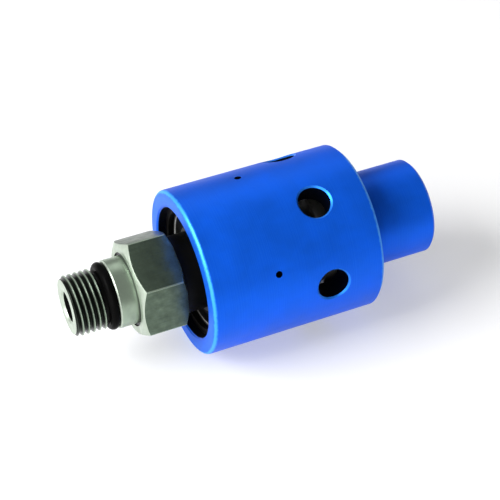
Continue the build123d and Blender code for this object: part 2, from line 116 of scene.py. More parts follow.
class HousingSettings(bpy.types.PropertyGroup):
    """Sizes and colours of the housing."""

    boss_radius: FloatProperty(
        name="Boss radius", description="Radius of the hose boss", default=12.75 * MM, unit="LENGTH"
    )
    rear_face: FloatProperty(
        name="Rear face", description="Where the wide barrel ends", default=62.4 * MM, unit="LENGTH"
    )
    edge_round: FloatProperty(
        name="Front edge round", description="Rounding of the front edge", default=1.1 * MM, unit="LENGTH"
    )
    rear_chamfer: FloatProperty(
        name="Rear chamfer", description="Chamfer of the barrel's rear edge", default=0.8 * MM, unit="LENGTH"
    )
    vent_radius: FloatProperty(
        name="Vent radius", description="Radius of the drain holes", default=4.25 * MM, unit="LENGTH"
    )
    vent_place: FloatProperty(
        name="Vent place", description="Where the drain holes are drilled", default=47.9 * MM, unit="LENGTH"
    )
    vent_count: IntProperty(
        name="Vents", description="Number of drain holes round the barrel", default=6, min=1
    )
    vent_angle: FloatProperty(
        name="Vent angle",
        description="Angle of the first drain hole, from the side towards the top",
        default=math.radians(54.5),
        subtype="ANGLE",
    )
    weep_radius: FloatProperty(
        name="Weep radius", description="Radius of the small holes", default=0.9 * MM, unit="LENGTH"
    )
    weep_place: FloatProperty(
        name="Weep place", description="Where the small holes are drilled", default=33.35 * MM, unit="LENGTH"
    )
    anodised: FloatVectorProperty(
        name="Anodised colour",
        description="Colour of the dyed aluminium",
        default=(0.001, 0.105, 0.85),
        subtype="COLOR",
    )
    # Edge colour: partly edge wear, partly painted highlight on the housing's edges, front face and drilled
    # walls; also the light tone of the lathe rings.
    wear_and_highlight: FloatVectorProperty(
        name="Edge colour",
        description="Colour where the dye is thin along an edge",
        default=(0.05, 0.36, 0.95),
        subtype="COLOR",
    )
    # Painted shade: this near-black colour stands for the shade inside the housing's bores, chamber and hose
    # port.
    bore: FloatVectorProperty(
        name="Bore colour",
        description="Colour of the oily bores inside",
        default=(0.0005, 0.002, 0.010),
        subtype="COLOR",
    )


class RotorSettings(bpy.types.PropertyGroup):
    """Sizes and colours of the rotor."""

    pitch: FloatProperty(
        name="Thread pitch", description="Distance between thread crests", default=1.5 * MM, unit="LENGTH"
    )
    hex_flats: FloatProperty(
        name="Across flats", description="Spanner size of the hexagon", default=24.0 * MM, unit="LENGTH"
    )
    hex_length: FloatProperty(
        name="Hexagon length", description="Length of the hexagon", default=12.0 * MM, unit="LENGTH"
    )
    hex_turn: FloatProperty(
        name="Hexagon turn",
        description="Angle of a corner, from the side towards the top",
        default=math.radians(25),
        subtype="ANGLE",
    )
    journal_radius: FloatProperty(
        name="Journal radius", description="Radius that carries the bearings", default=8.5 * MM, unit="LENGTH"
    )
    passage_radius: FloatProperty(
        name="Passage radius", description="Radius of the bore through it", default=4.0 * MM, unit="LENGTH"
    )
    steel: FloatVectorProperty(
        name="Steel colour",
        description="Colour of the stainless steel",
        default=(0.36, 0.45, 0.35),
        subtype="COLOR",
    )
    # Lighter copy of the steel for faces turned to the front: partly a faced finish, partly painted light.
    faced_and_lit: FloatVectorProperty(
        name="Faced colour",
        description="Colour of the bright faces that look to the front",
        default=(0.52, 0.60, 0.50),
        subtype="COLOR",
    )
    flats: FloatVectorProperty(
        name="Flats colour",
        description="Colour of the hexagon's drawn flats",
        default=(0.105, 0.145, 0.105),
        subtype="COLOR",
    )
    # Painted shade: the rotor inside the housing's mouth, its relief ring and its seal land are darkened to
    # stand for shade.
    shaded: FloatVectorProperty(
        name="Oily colour",
        description="Colour of the oily steel inside the housing's mouth",
        default=(0.012, 0.012, 0.012),
        subtype="COLOR",
    )


class StageSettings(bpy.types.PropertyGroup):
    """Camera, floor and light."""

    azimuth: FloatProperty(
        name="Azimuth", description="Turn of the camera round the union", default=math.radians(-23.857),
        subtype="ANGLE",
    )
    elevation: FloatProperty(
        name="Elevation", description="Height of the camera over the floor", default=math.radians(41.966),
        subtype="ANGLE",
    )
    distance: FloatProperty(
        name="Distance", description="From the camera to the union", default=0.41720, unit="LENGTH"
    )
    lens: FloatProperty(name="Lens", description="Focal length in millimetres", default=115.2)
    floor_colour: FloatVectorProperty(
        name="Floor colour", description="Colour of the floor", default=(0.62, 0.62, 0.62), subtype="COLOR"
    )
    floor_glow: FloatProperty(name="Floor glow", description="Light from the lit floor", default=0.34)
    room_glow: FloatProperty(name="Room glow", description="Even light from all round", default=0.22)
    key_power: FloatProperty(
        name="Key power", description="Power of the main light", default=15.0, unit="POWER"
    )
    back_power: FloatProperty(
        name="Back power", description="Power of the light behind", default=0.75, unit="POWER"
    )
    fill_power: FloatProperty(
        name="Fill power", description="Power of the front light", default=3.2, unit="POWER"
    )


# Mesh helpers


def arc(centre, radius, start, end, steps):
    """Points of a round stretch of an outline, between two angles in degrees."""
    turn = [math.radians(start + (end - start) * i / steps) for i in range(steps + 1)]
    return [(centre[0] + radius * math.cos(a), centre[1] + radius * math.sin(a)) for a in turn]


def outline(bm, points):
    """A closed loop of vertices and edges, from points given along the axis and out from it."""
    verts = [bm.verts.new((along, 0, radius)) for along, radius in points]
    edges = [bm.edges.new(pair) for pair in zip(verts, verts[1:] + verts[:1])]
    return verts, edges


def close(bm):
    """Merges what coincides and turns every face outward."""
    bmesh.ops.remove_doubles(bm, verts=bm.verts, dist=MERGE_DISTANCE)
    bmesh.ops.recalc_face_normals(bm, faces=bm.faces)


def lathe(points, segments=FINE_TURNING):
    """A ring-shaped solid turned from a closed outline."""
    bm = bmesh.new()
    verts, edges = outline(bm, points)
    bmesh.ops.spin(
        bm, geom=verts + edges, cent=ORIGIN, axis=AXIS, angle=math.tau, steps=segments, use_merge=True
    )
    close(bm)
    return bm


def helix(points, pitch, turns, steps=96):
    """A right-handed screw ridge swept from a closed outline, closed at both ends."""
    bm = bmesh.new()
    verts, edges = outline(bm, points)
    face = bm.faces.new(verts)
    bmesh.ops.spin(
        bm,
        geom=verts + edges + [face],
        cent=ORIGIN,
        axis=AXIS,
        dvec=AXIS * pitch / steps,
        angle=math.tau * turns,
        steps=round(steps * turns),
    )
    close(bm)
    return bm


def object_from(bm, name):
    """A new object in the scene that holds a bmesh."""
    mesh = bpy.data.meshes.new(name)
    bm.to_mesh(mesh)
    bm.free()
    piece = bpy.data.objects.new(name, mesh)
    bpy.context.scene.collection.objects.link(piece)
    return piece


def apply_modifiers(piece):
    """Makes what the modifiers show the piece's own mesh."""
    shown = piece.evaluated_get(bpy.context.evaluated_depsgraph_get())
    mesh = bpy.data.meshes.new_from_object(shown)
    piece.modifiers.clear()
    piece.data = mesh


def combine(piece, tool_bm, operation):
    """Adds, cuts or intersects a piece with another solid."""
    tool = object_from(tool_bm, "tool")
    modifier = piece.modifiers.new(operation.title(), "BOOLEAN")
    modifier.operation = operation
    modifier.solver = "EXACT"
    modifier.object = tool
    apply_modifiers(piece)
    bpy.data.objects.remove(tool)


def drop_slivers(piece):
    """Merges the hair-thin faces that cutting leaves along the cuts."""
    bm = bmesh.new()
    bm.from_mesh(piece.data)
    bmesh.ops.dissolve_degenerate(bm, dist=SLIVER, edges=bm.edges)
    close(bm)
    bm.to_mesh(piece.data)
    bm.free()


def smooth(piece):
    """Smooth shading that breaks at the true edges."""
    piece.data.shade_smooth()
    piece.data.set_sharp_from_angle(angle=SHARP_ANGLE)


def finish_faces(piece, materials, choose):
    """Gives each face the finish that a rule picks from its place, its radius and the way it faces."""
    piece.data.materials.clear()
    for material in materials:
        piece.data.materials.append(material)
    for face in piece.data.polygons:
        radius = math.hypot(face.center.y, face.center.z)
        away = face.normal.y * face.center.y + face.normal.z * face.center.z
        outward = away / max(radius, MERGE_DISTANCE)
        face.material_index = choose(face.center.x, radius, face.normal.x, outward)


def dress(piece, material, slot, body, *nodes):
    """Gives a finished piece its material, the body it rides on and the nodes it stands for; its slot is not
    used.
    """
    if material:
        piece.data.materials.clear()
        piece.data.materials.append(material)
    smooth(piece)
    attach(piece, body)
    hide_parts(*nodes)
    return piece


def merged_copy(node, name):
    """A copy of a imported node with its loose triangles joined."""
    bm = bmesh.new()
    bm.from_mesh(frame["nodes"][node].data)
    bmesh.ops.remove_doubles(bm, verts=bm.verts, dist=MERGE_DISTANCE)
    return object_from(bm, name)


# Node helpers


def node_of(tree, kind, **values):
    """A new node with some of its settings and its inputs' values."""
    node = tree.nodes.new(kind)
    for name, value in values.items():
        if hasattr(node, name):
            setattr(node, name, value)
        else:
            node.inputs[name.replace("_", " ")].default_value = value
    return node


def maths(tree, operation, first, second=None, third=None):
    """A Math node on links or numbers; returns its output."""
    node = tree.nodes.new("ShaderNodeMath")
    node.operation = operation
    for socket, value in zip(node.inputs, (first, second, third)):
        if isinstance(value, bpy.types.NodeSocket):
            tree.links.new(value, socket)
        elif value is not None:
            socket.default_value = value
    return node.outputs[0]


def mix_colour(tree, factor, first, second):
    """Mixes two colours; returns the result."""
    node = tree.nodes.new("ShaderNodeMix")
    node.data_type = "RGBA"
    for socket, value in zip((node.inputs[0], node.inputs[6], node.inputs[7]), (factor, first, second)):
        if isinstance(value, bpy.types.NodeSocket):
            tree.links.new(value, socket)
        elif isinstance(value, float):
            socket.default_value = value
        else:
            socket.default_value = (*value[:3], 1.0)
    return node.outputs[2]


def new_group(name, inputs, outputs):
    """A shader node group with number inputs and outputs; returns the tree and its two end nodes."""
    tree = bpy.data.node_groups.new(name, "ShaderNodeTree")
    for label, value in inputs.items():
        socket = tree.interface.new_socket(name=label, in_out="INPUT", socket_type="NodeSocketFloat")
        socket.default_value = value
    for label in outputs:
        tree.interface.new_socket(name=label, in_out="OUTPUT", socket_type="NodeSocketFloat")
    return tree, tree.nodes.new("NodeGroupInput"), tree.nodes.new("NodeGroupOutput")


def place_and_radius(tree):
    """Three outputs: the place itself, the distance along the axis and the distance out from it."""
    place = tree.nodes.new("ShaderNodeTexCoord").outputs["Object"]
    parts = tree.nodes.new("ShaderNodeSeparateXYZ")
    tree.links.new(place, parts.inputs[0])
    squared = maths(tree, "MULTIPLY", parts.outputs["Y"], parts.outputs["Y"])
    summed = maths(tree, "MULTIPLY_ADD", parts.outputs["Z"], parts.outputs["Z"], squared)
    return place, parts.outputs["X"], maths(tree, "SQRT", summed)


def turning_marks_group():
    """Fine rings left by the lathe, on barrels and on end faces alike."""
    tree, enter, leave = new_group("turning_marks", {"Marks per metre": 9000.0, "Wander": 0.0002}, ["Mark"])
    place, along, radius = place_and_radius(tree)
    drift = node_of(tree, "ShaderNodeTexNoise", Scale=60.0, Detail=2.0)
    tree.links.new(place, drift.inputs["Vector"])
    across = maths(tree, "ADD", along, radius)
    wander = maths(tree, "MULTIPLY_ADD", drift.outputs[0], enter.outputs["Wander"], across)
    count = maths(tree, "MULTIPLY", wander, enter.outputs["Marks per metre"])
    rings = node_of(tree, "ShaderNodeTexNoise", noise_dimensions="1D", Scale=1.0, Detail=3.0, Roughness=0.7)
    tree.links.new(count, rings.inputs["W"])
    tree.links.new(rings.outputs[0], leave.inputs["Mark"])
    return tree


def grain_group():
    """A fine even tooth, and slow patches of handling and light staining."""
    tree, enter, leave = new_group("grain", {"Tooth scale": 9000.0, "Patch scale": 70.0}, ["Tooth", "Patch"])
    place = tree.nodes.new("ShaderNodeTexCoord").outputs["Object"]
    for label, scale, detail in (("Tooth", "Tooth scale", 2.0), ("Patch", "Patch scale", 4.0)):
        noise = node_of(tree, "ShaderNodeTexNoise", Detail=detail, Roughness=0.6)
        tree.links.new(place, noise.inputs["Vector"])
        tree.links.new(enter.outputs[scale], noise.inputs["Scale"])
        tree.links.new(noise.outputs[0], leave.inputs[label])
    return tree


def edge_ring_group():
    """A soft broken line along a round edge at a given place and radius."""
    tree, enter, leave = new_group(
        "edge_ring", {"Along": 0.0, "Radius": 0.01, "Width": 0.0006}, ["Line"]
    )
    place, along, radius = place_and_radius(tree)
    off_along = maths(tree, "SUBTRACT", along, enter.outputs["Along"])
    off_radius = maths(tree, "SUBTRACT", radius, enter.outputs["Radius"])
    squared = maths(tree, "MULTIPLY", off_along, off_along)
    summed = maths(tree, "MULTIPLY_ADD", off_radius, off_radius, squared)
    away = maths(tree, "DIVIDE", maths(tree, "SQRT", summed), enter.outputs["Width"])
    breaks = node_of(tree, "ShaderNodeTexNoise", Scale=900.0, Detail=3.0)
    tree.links.new(place, breaks.inputs["Vector"])
    ragged = maths(tree, "MULTIPLY_ADD", breaks.outputs[0], 0.9, away)
    line = node_of(tree, "ShaderNodeMapRange", interpolation_type="SMOOTHSTEP")
    for label, value in (("From Min", 0.6), ("From Max", 1.5), ("To Min", 1.0), ("To Max", 0.0)):
        line.inputs[label].default_value = value
    tree.links.new(ragged, line.inputs["Value"])
    tree.links.new(line.outputs[0], leave.inputs["Line"])
    return tree


def streaks_group():
    """Long faint scratches that run along the axis, as on drawn bar."""
    tree, enter, leave = new_group("streaks", {"Across scale": 5000.0, "Along scale": 160.0}, ["Streak"])
    place = tree.nodes.new("ShaderNodeTexCoord").outputs["Object"]
    parts = tree.nodes.new("ShaderNodeSeparateXYZ")
    tree.links.new(place, parts.inputs[0])
    stretched = tree.nodes.new("ShaderNodeCombineXYZ")
    along = maths(tree, "MULTIPLY", parts.outputs["X"], enter.outputs["Along scale"])
    tree.links.new(along, stretched.inputs["X"])
    for label in ("Y", "Z"):
        across = maths(tree, "MULTIPLY", parts.outputs[label], enter.outputs["Across scale"])
        tree.links.new(across, stretched.inputs[label])
    noise = node_of(tree, "ShaderNodeTexNoise", Scale=1.0, Detail=4.0, Roughness=0.65)
    tree.links.new(stretched.outputs[0], noise.inputs["Vector"])
    tree.links.new(noise.outputs[0], leave.inputs["Streak"])
    return tree


GROUP_MAKERS = {
    "turning_marks": turning_marks_group,
    "grain": grain_group,
    "edge_ring": edge_ring_group,
    "streaks": streaks_group,
}


def use_group(tree, name, **values):
    """Places a shared effect in a material with this material's own values."""
    node = tree.nodes.new("ShaderNodeGroup")
    node.node_tree = bpy.data.node_groups.get(name) or GROUP_MAKERS[name]()
    for label, value in values.items():
        node.inputs[label.replace("_", " ")].default_value = value
    return node


def ranged(tree, source, low, high, source_low=0.3, source_high=0.7):
    """Stretches a noise value to lie between two numbers."""
    node = tree.nodes.new("ShaderNodeMapRange")
    tree.links.new(source, node.inputs["Value"])
    labels = ("From Min", "From Max", "To Min", "To Max")
    for label, value in zip(labels, (source_low, source_high, low, high)):
        node.inputs[label].default_value = value
    return node.outputs[0]


def patchy_gloss(tree, shader, grain, low, high):
    """Lets the patches of handling vary the roughness between two numbers."""
    tree.links.new(ranged(tree, grain.outputs["Patch"], low, high), shader.inputs["Roughness"])


def bumped(tree, shader, height, strength, distance):
    """Feeds a height into the shader's normal."""
    bump = node_of(tree, "ShaderNodeBump", Strength=strength, Distance=distance)
    tree.links.new(height, bump.inputs["Height"])
    tree.links.new(bump.outputs[0], shader.inputs["Normal"])


def blank_material(name, **sockets):
    """A new material with its Principled shader; returns material, tree and shader."""
    material = bpy.data.materials.new(name)
    material.use_nodes = True
    tree = material.node_tree
    shader = tree.nodes["Principled BSDF"]
    for label, value in sockets.items():
        shader.inputs[label.replace("_", " ")].default_value = value
    return material, tree, shader


def anodised_material(name, colour, wear_and_highlight, edges, roughness, marks_depth):
    """Dyed, satin aluminium: lathe rings under the dye, faint patches and a bright line on each edge, partly
    edge wear and partly painted highlight.
    """
    material, tree, shader = blank_material(name, Metallic=0.6, Specular_IOR_Level=0.12)
    marks = use_group(tree, "turning_marks", Marks_per_metre=5200.0)
    grain = use_group(tree, "grain", Tooth_scale=14000.0, Patch_scale=85.0)
    shade = tuple(channel * 0.80 for channel in colour)
    patches = mix_colour(tree, ranged(tree, grain.outputs["Patch"], 0.0, 1.0), shade, colour)
    base = mix_colour(tree, ranged(tree, marks.outputs["Mark"], 0.0, 0.16), patches, wear_and_highlight)
    # Each edge line mixes in the edge colour: partly edge wear, partly painted highlight.
    for along, radius, width, strength in edges:
        line = use_group(tree, "edge_ring", Along=along, Radius=radius, Width=width)
        base = mix_colour(tree, maths(tree, "MULTIPLY", line.outputs["Line"], strength), base, wear_and_highlight)
    tree.links.new(base, shader.inputs["Base Color"])
    patchy_gloss(tree, shader, grain, roughness - 0.05, roughness + 0.06)
    height = maths(tree, "MULTIPLY_ADD", grain.outputs["Tooth"], 0.5, marks.outputs["Mark"])
    bumped(tree, shader, height, 0.35, marks_depth)
    return material


def drawn_bar_material(name, colour, roughness):
    """The hexagon's flats: dull drawn bar with streaks along it and blotches of oil."""
    material, tree, shader = blank_material(name, Metallic=0.9)
    streaks = use_group(tree, "streaks")
    grain = use_group(tree, "grain", Tooth_scale=8000.0, Patch_scale=420.0)
    shade = tuple(channel * 0.62 for channel in colour)
    light = tuple(channel * 1.30 for channel in colour)
    patches = mix_colour(tree, ranged(tree, grain.outputs["Patch"], 0.0, 1.0), shade, light)
    base = mix_colour(tree, ranged(tree, streaks.outputs["Streak"], 0.0, 0.55), patches, shade)
    tree.links.new(base, shader.inputs["Base Color"])
    patchy_gloss(tree, shader, grain, roughness + 0.08, roughness - 0.05)
    height = maths(tree, "MULTIPLY_ADD", grain.outputs["Tooth"], 0.6, streaks.outputs["Streak"])
    bumped(tree, shader, height, 0.5, 0.02 * MM)
    return material


def steel_material(name, colour, roughness, marks_per_metre, marks_depth, stain=0.75, groove_shade=None):
    """Machined steel: lathe rings, a fine tooth, patches of oil, and painted shade that darkens it up to a
    radius.
    """
    material, tree, shader = blank_material(name, Metallic=0.86)
    marks = use_group(tree, "turning_marks", Marks_per_metre=marks_per_metre)
    grain = use_group(tree, "grain", Tooth_scale=7000.0, Patch_scale=240.0)
    shade = tuple(channel * stain for channel in colour)
    patches = mix_colour(tree, ranged(tree, grain.outputs["Patch"], 0.0, 1.0), shade, colour)
    rings = mix_colour(tree, ranged(tree, marks.outputs["Mark"], 0.0, 0.35), patches, shade)
    # Painted shade: darker below the given radius, rising to full colour above it.
    if groove_shade:
        radius = place_and_radius(tree)[2]
        groove_shade_colour = tuple(channel * 0.03 for channel in colour)
        rings = mix_colour(tree, ranged(tree, radius, 0.0, 1.0, *groove_shade), groove_shade_colour, rings)
    tree.links.new(rings, shader.inputs["Base Color"])
    patchy_gloss(tree, shader, grain, roughness + 0.08, roughness - 0.05)
    height = maths(tree, "MULTIPLY_ADD", grain.outputs["Tooth"], 0.6, marks.outputs["Mark"])
    bumped(tree, shader, height, 0.4, marks_depth)
    return material


def moulded_material(name, colour, roughness, tooth_scale, depth, shine):
    """Rubber, plastic or ceramic: a fine tooth and slightly uneven colour and gloss."""
    material, tree, shader = blank_material(name, Metallic=0.0, Specular_IOR_Level=shine)
    grain = use_group(tree, "grain", Tooth_scale=tooth_scale, Patch_scale=180.0)
    light = tuple(min(1.0, channel * 1.35 + 0.001) for channel in colour)
    base = mix_colour(tree, ranged(tree, grain.outputs["Patch"], 0.0, 1.0), colour, light)
    tree.links.new(base, shader.inputs["Base Color"])
    patchy_gloss(tree, shader, grain, roughness - 0.04, roughness + 0.08)
    bumped(tree, shader, grain.outputs["Tooth"], 0.3, depth)
    return material


def blue_anodised(settings):
    """The housing's finish; each edge has its place, radius, width and strength. The edge lines are partly
    edge wear and partly painted highlight.
    """
    half_chamfer, inset = settings.rear_chamfer / 2, 0.32 * MM
    edges = [
        # Painted highlight: a faint wide band of the edge colour over the whole front face.
        (HOUSING_FRONT, (HOUSING_RADIUS + BEARING_RADIUS) / 2, 2.2 * MM, 0.12),
        # Lines on the front round, the rear chamfer and the boss end: partly edge wear, partly painted
        # highlight.
        (HOUSING_FRONT + inset, HOUSING_RADIUS - inset, 0.75 * MM, 1.0),
        (settings.rear_face - half_chamfer, HOUSING_RADIUS - half_chamfer, 0.8 * MM, 1.0),
        (PORT_FACE, settings.boss_radius, 0.7 * MM, 1.0),
    ]
    return anodised_material("fine_anodised", settings.anodised, settings.wear_and_highlight, edges, 0.46, 0.010 * MM)


FINISHES = {
    "bearing_steel": (steel_material, (0.30, 0.30, 0.29), 0.25, 4000.0, 0.004 * MM, 0.85),
    "plain_steel": (steel_material, (0.50, 0.505, 0.48), 0.34, 6000.0, 0.008 * MM),
    "black_steel": (steel_material, (0.014, 0.013, 0.012), 0.38, 3000.0, 0.006 * MM),
    "spring_steel": (steel_material, (0.42, 0.42, 0.42), 0.30, 3000.0, 0.004 * MM),
    "black_rubber": (moulded_material, (0.002, 0.002, 0.002), 0.32, 6000.0, 0.01 * MM, 0.012),
    "cage_plastic": (moulded_material, (0.66, 0.60, 0.44), 0.55, 6000.0, 0.01 * MM, 0.5),
    "backup_plastic": (moulded_material, (0.80, 0.80, 0.77), 0.50, 6000.0, 0.01 * MM, 0.5),
    "seal_ceramic": (moulded_material, (0.035, 0.035, 0.04), 0.22, 9000.0, 0.002 * MM, 0.5),
}


def shared_material(name):
    """One of the finishes used by more than one piece, made on first use."""
    full_name = "fine_" + name
    maker, *values = FINISHES[name]
    return bpy.data.materials.get(full_name) or maker(full_name, *values)


# Housing


def housing_outline(settings):
    """The housing's cut section: barrel, boss, bearing bore, seal chamber, spring pocket and hose port."""
    bore = BEARING_RADIUS + 0.01 * MM
    groove_radius = HOUSING_RING_RADIUS + 0.05 * MM
    groove_start = HOUSING_RING_START - 0.05 * MM
    chamber_radius = bore - 2.0 * MM
    chamber_floor = SPRING_END - 5.0 * MM
    spring_pocket = SPRING_RADIUS + 0.6 * MM
    slide_radius = 6.55 * MM
    slide_end = CARRIER_END + 1.4 * MM
    supply_radius = 4.5 * MM
    port_floor = PORT_FACE - 12.0 * MM
    mouth, boss_chamfer, port_chamfer = 0.4 * MM, 0.7 * MM, 1.1 * MM
    corner = (HOUSING_FRONT + settings.edge_round, HOUSING_RADIUS - settings.edge_round)
    return [
        (HOUSING_FRONT, bore + mouth),
        *arc(corner, settings.edge_round, 180, 90, 10),
        (settings.rear_face - settings.rear_chamfer, HOUSING_RADIUS),
        (settings.rear_face, HOUSING_RADIUS - settings.rear_chamfer),
        (settings.rear_face, settings.boss_radius),
        (PORT_FACE - boss_chamfer, settings.boss_radius),
        (PORT_FACE, settings.boss_radius - boss_chamfer),
        (PORT_FACE, PORT_RADIUS + port_chamfer),
        (PORT_FACE - port_chamfer, PORT_RADIUS),
        (port_floor, PORT_RADIUS),
        (port_floor, supply_radius),
        (slide_end, supply_radius),
        (slide_end, slide_radius),
        (SPRING_END, slide_radius),
        (SPRING_END, spring_pocket),
        (chamber_floor, spring_pocket),
        (chamber_floor, chamber_radius),
        (REAR_RING_END, chamber_radius),
        (REAR_RING_END, bore),
        (HOUSING_RING_END + 0.2 * MM, bore),
        (HOUSING_RING_END + 0.2 * MM, groove_radius),
        (groove_start, groove_radius),
        (groove_start, bore),
        (HOUSING_FRONT + mouth, bore),
    ]


def aim_drill(bm, along, angle):
    """Sets an upright drill on the barrel, at a place along the axis and an angle round it."""
    turn = Matrix.Rotation(angle - math.pi / 2, 4, "X")
    place = Matrix.Translation((along, 0, 0)) @ turn @ Matrix.Translation((0, 0, HOUSING_RADIUS))
    bmesh.ops.transform(bm, matrix=place, verts=bm.verts)


def vent_drill(settings, angle):
    """A drill for one drain hole, with a countersink that follows the round barrel."""
    chamfer, beyond, depth = 0.45 * MM, 0.6 * MM, 9.0 * MM
    bm = bmesh.new()
    steps = 64
    profile = [(0, -depth), (settings.vent_radius, -depth), (settings.vent_radius, -chamfer)]
    profile += [(settings.vent_radius + chamfer + beyond, beyond), (0, beyond)]
    verts = [bm.verts.new((across, 0, height)) for across, height in profile]
    edges = [bm.edges.new(pair) for pair in zip(verts, verts[1:])]
    bmesh.ops.spin(
        bm, geom=verts + edges, cent=ORIGIN, axis=(0, 0, 1), angle=math.tau, steps=steps, use_merge=True
    )
    close(bm)
    for vert in bm.verts:
        if vert.co.z > -depth / 2:
            drop = HOUSING_RADIUS - math.sqrt(HOUSING_RADIUS**2 - vert.co.y**2)
            vert.co.z -= drop
    aim_drill(bm, settings.vent_place, angle)
    return bm


def weep_drill(settings, angle):
    """A drill for one small hole."""
    bm = bmesh.new()
    depth = 7.0 * MM
    radius = settings.weep_radius
    bmesh.ops.create_cone(bm, cap_ends=True, segments=32, radius1=radius, radius2=radius, depth=depth)
    aim_drill(bm, settings.weep_place, angle)
    return bm


def port_tap():
    """The screw-shaped tool that cuts the hose port's thread."""
    pitch, depth = 1.337 * MM, 0.83 * MM
    inner, root = 0.56 * MM, 0.12 * MM
    start = PORT_FACE - 10.0 * MM
    points = [
        (start - inner, PORT_RADIUS - 0.5 * MM),
        (start + inner, PORT_RADIUS - 0.5 * MM),
        (start + inner, PORT_RADIUS),
        (start + root, PORT_RADIUS + depth),
        (start - root, PORT_RADIUS + depth),
        (start - inner, PORT_RADIUS),
    ]
    return helix(points, pitch, 8.5)


WEEP_OFFSETS = (20, 100, 200, 280)


class BuildHousing(bpy.types.Operator):
    """Turn the housing, drill its drain and weep holes and tap its hose port"""

    bl_idname = "union.build_housing"
    bl_label = "Housing"

    def execute(self, context):
        settings = context.scene.union_housing
        piece = object_from(lathe(housing_outline(settings), HOUSING_TURNING), "anodised_housing")
        for index in range(settings.vent_count):
            angle = settings.vent_angle + math.tau * index / settings.vent_count
            combine(piece, vent_drill(settings, angle), "DIFFERENCE")
        for offset in WEEP_OFFSETS:
            combine(piece, weep_drill(settings, settings.vent_angle + math.radians(offset)), "DIFFERENCE")
        combine(piece, port_tap(), "DIFFERENCE")
        drop_slivers(piece)
        # Lighter copy of the dye for the drilled walls and countersinks: painted highlight, partly thinner
        # dye.
        thin = tuple(0.6 * dye + 0.4 * wear_and_highlight for dye, wear_and_highlight in zip(settings.anodised, settings.wear_and_highlight))
        edges = anodised_material("anodised_edge", thin, settings.wear_and_highlight, [], 0.40, 0.004 * MM)
        # Painted shade on the housing's inner faces.
        bore = anodised_material("anodised_bore", settings.bore, settings.bore, [], 0.50, 0.010 * MM)
        mouth = HOUSING_FRONT + 0.45 * MM
        port_mouth = PORT_FACE - 1.2 * MM
        rim = HOUSING_RADIUS - MM

        def choose(along, radius, end_on, outward):
            # Inner faces of the bores, chamber and port take the painted shade.
            if mouth < along < settings.rear_face - MM and radius < rim:
                return 1
            if settings.rear_face - MM < along < port_mouth and outward < -0.5:
                return 1
            # Drilled walls and countersinks take the lighter copy: painted highlight, partly thinner dye.
            past_round = HOUSING_FRONT + settings.edge_round + 0.1 * MM < along < settings.rear_face - MM
            return 2 if past_round and abs(outward) < 0.9 else 0

        finish_faces(piece, (blue_anodised(settings), bore, edges), choose)
        dress(piece, None, "blue_anodised", "housing", "housing")
        return {"FINISHED"}


# Rotor

# A share of the pitch
THREAD_DEPTH = 0.613


def shaft_outline(settings):
    """The rotor's cut section without its hexagon: thread, seal land, pilot, collar and journal."""
    tip_chamfer, bore_chamfer, pilot_chamfer = 0.8 * MM, 0.5 * MM, 0.3 * MM
    land_radius = O_RING_RADIUS - 2.4 * MM
    land_start, land_end = -8.1 * MM, -4.8 * MM
    hex_middle = settings.hex_length / 2
    collar_radius, collar_end = 10.25 * MM, FRONT_RING_START
    groove_radius = 8.1 * MM
    groove_start, groove_end = ROTOR_RING_START, ROTOR_RING_END + 0.1 * MM
    seat_radius = SEAL_RADIUS + 0.01 * MM
    journal, passage = settings.journal_radius, settings.passage_radius
    return [
        (ROTOR_TIP, passage + bore_chamfer),
        (ROTOR_TIP, THREAD_RADIUS - tip_chamfer),
        (ROTOR_TIP + tip_chamfer, THREAD_RADIUS),
        (land_start, THREAD_RADIUS),
        (land_start, land_radius),
        (land_end, land_radius),
        (land_end, PILOT_RADIUS - pilot_chamfer),
        (land_end + pilot_chamfer, PILOT_RADIUS),
        (hex_middle, PILOT_RADIUS),
        (hex_middle, collar_radius),
        (collar_end, collar_radius),
        (collar_end, journal),
        (groove_start, journal),
        (groove_start, groove_radius),
        (groove_end, groove_radius),
        (groove_end, journal),
        (ROTOR_END - 0.3 * MM, journal),
        (ROTOR_END, journal - 0.3 * MM),
        (ROTOR_END, seat_radius),
        (SEAL_START, seat_radius),
        (SEAL_START, passage),
        (ROTOR_TIP + bore_chamfer, passage),
    ]


def thread_cutter(settings):
    """The screw-shaped groove between the rotor's thread crests."""
    pitch = settings.pitch
    depth = THREAD_DEPTH * pitch
    crest_gap = pitch * 7 / 16
    root_gap = crest_gap - depth * math.tan(math.radians(30))
    ease = 0.05 * MM
    start = ROTOR_TIP - 1.6 * pitch
    points = [
        (start - crest_gap - ease, THREAD_RADIUS + 0.6 * MM),
        (start - crest_gap - ease, THREAD_RADIUS + 0.001 * MM),
        (start - crest_gap, THREAD_RADIUS - ease),
        (start - root_gap, THREAD_RADIUS - depth + ease),
        (start - root_gap / 2, THREAD_RADIUS - depth),
        (start + root_gap / 2, THREAD_RADIUS - depth),
        (start + root_gap, THREAD_RADIUS - depth + ease),
        (start + crest_gap, THREAD_RADIUS - ease),
        (start + crest_gap + ease, THREAD_RADIUS + 0.001 * MM),
        (start + crest_gap + ease, THREAD_RADIUS + 0.6 * MM),
    ]
    return helix(points, pitch, 7.5)


def hexagon_envelope(settings):
    """The turned shape that chamfers the hexagon's corners and sinks a relief ring in its seat."""
    half_flats = settings.hex_flats / 2
    front_face, rear_face = half_flats - 0.5 * MM, half_flats + 0.3 * MM
    slope = math.tan(math.radians(30))
    reach = HEX_REACH + 2.0 * MM
    relief_radius, relief_depth = 9.8 * MM, 0.4 * MM
    inner = settings.passage_radius + 2.0 * MM
    return [
        (relief_depth, inner),
        (relief_depth, relief_radius),
        (0, relief_radius),
        (0, front_face),
        (slope * (reach - front_face), reach),
        (settings.hex_length - slope * (reach - rear_face), reach),
        (settings.hex_length, rear_face),
        (settings.hex_length, inner),
    ]


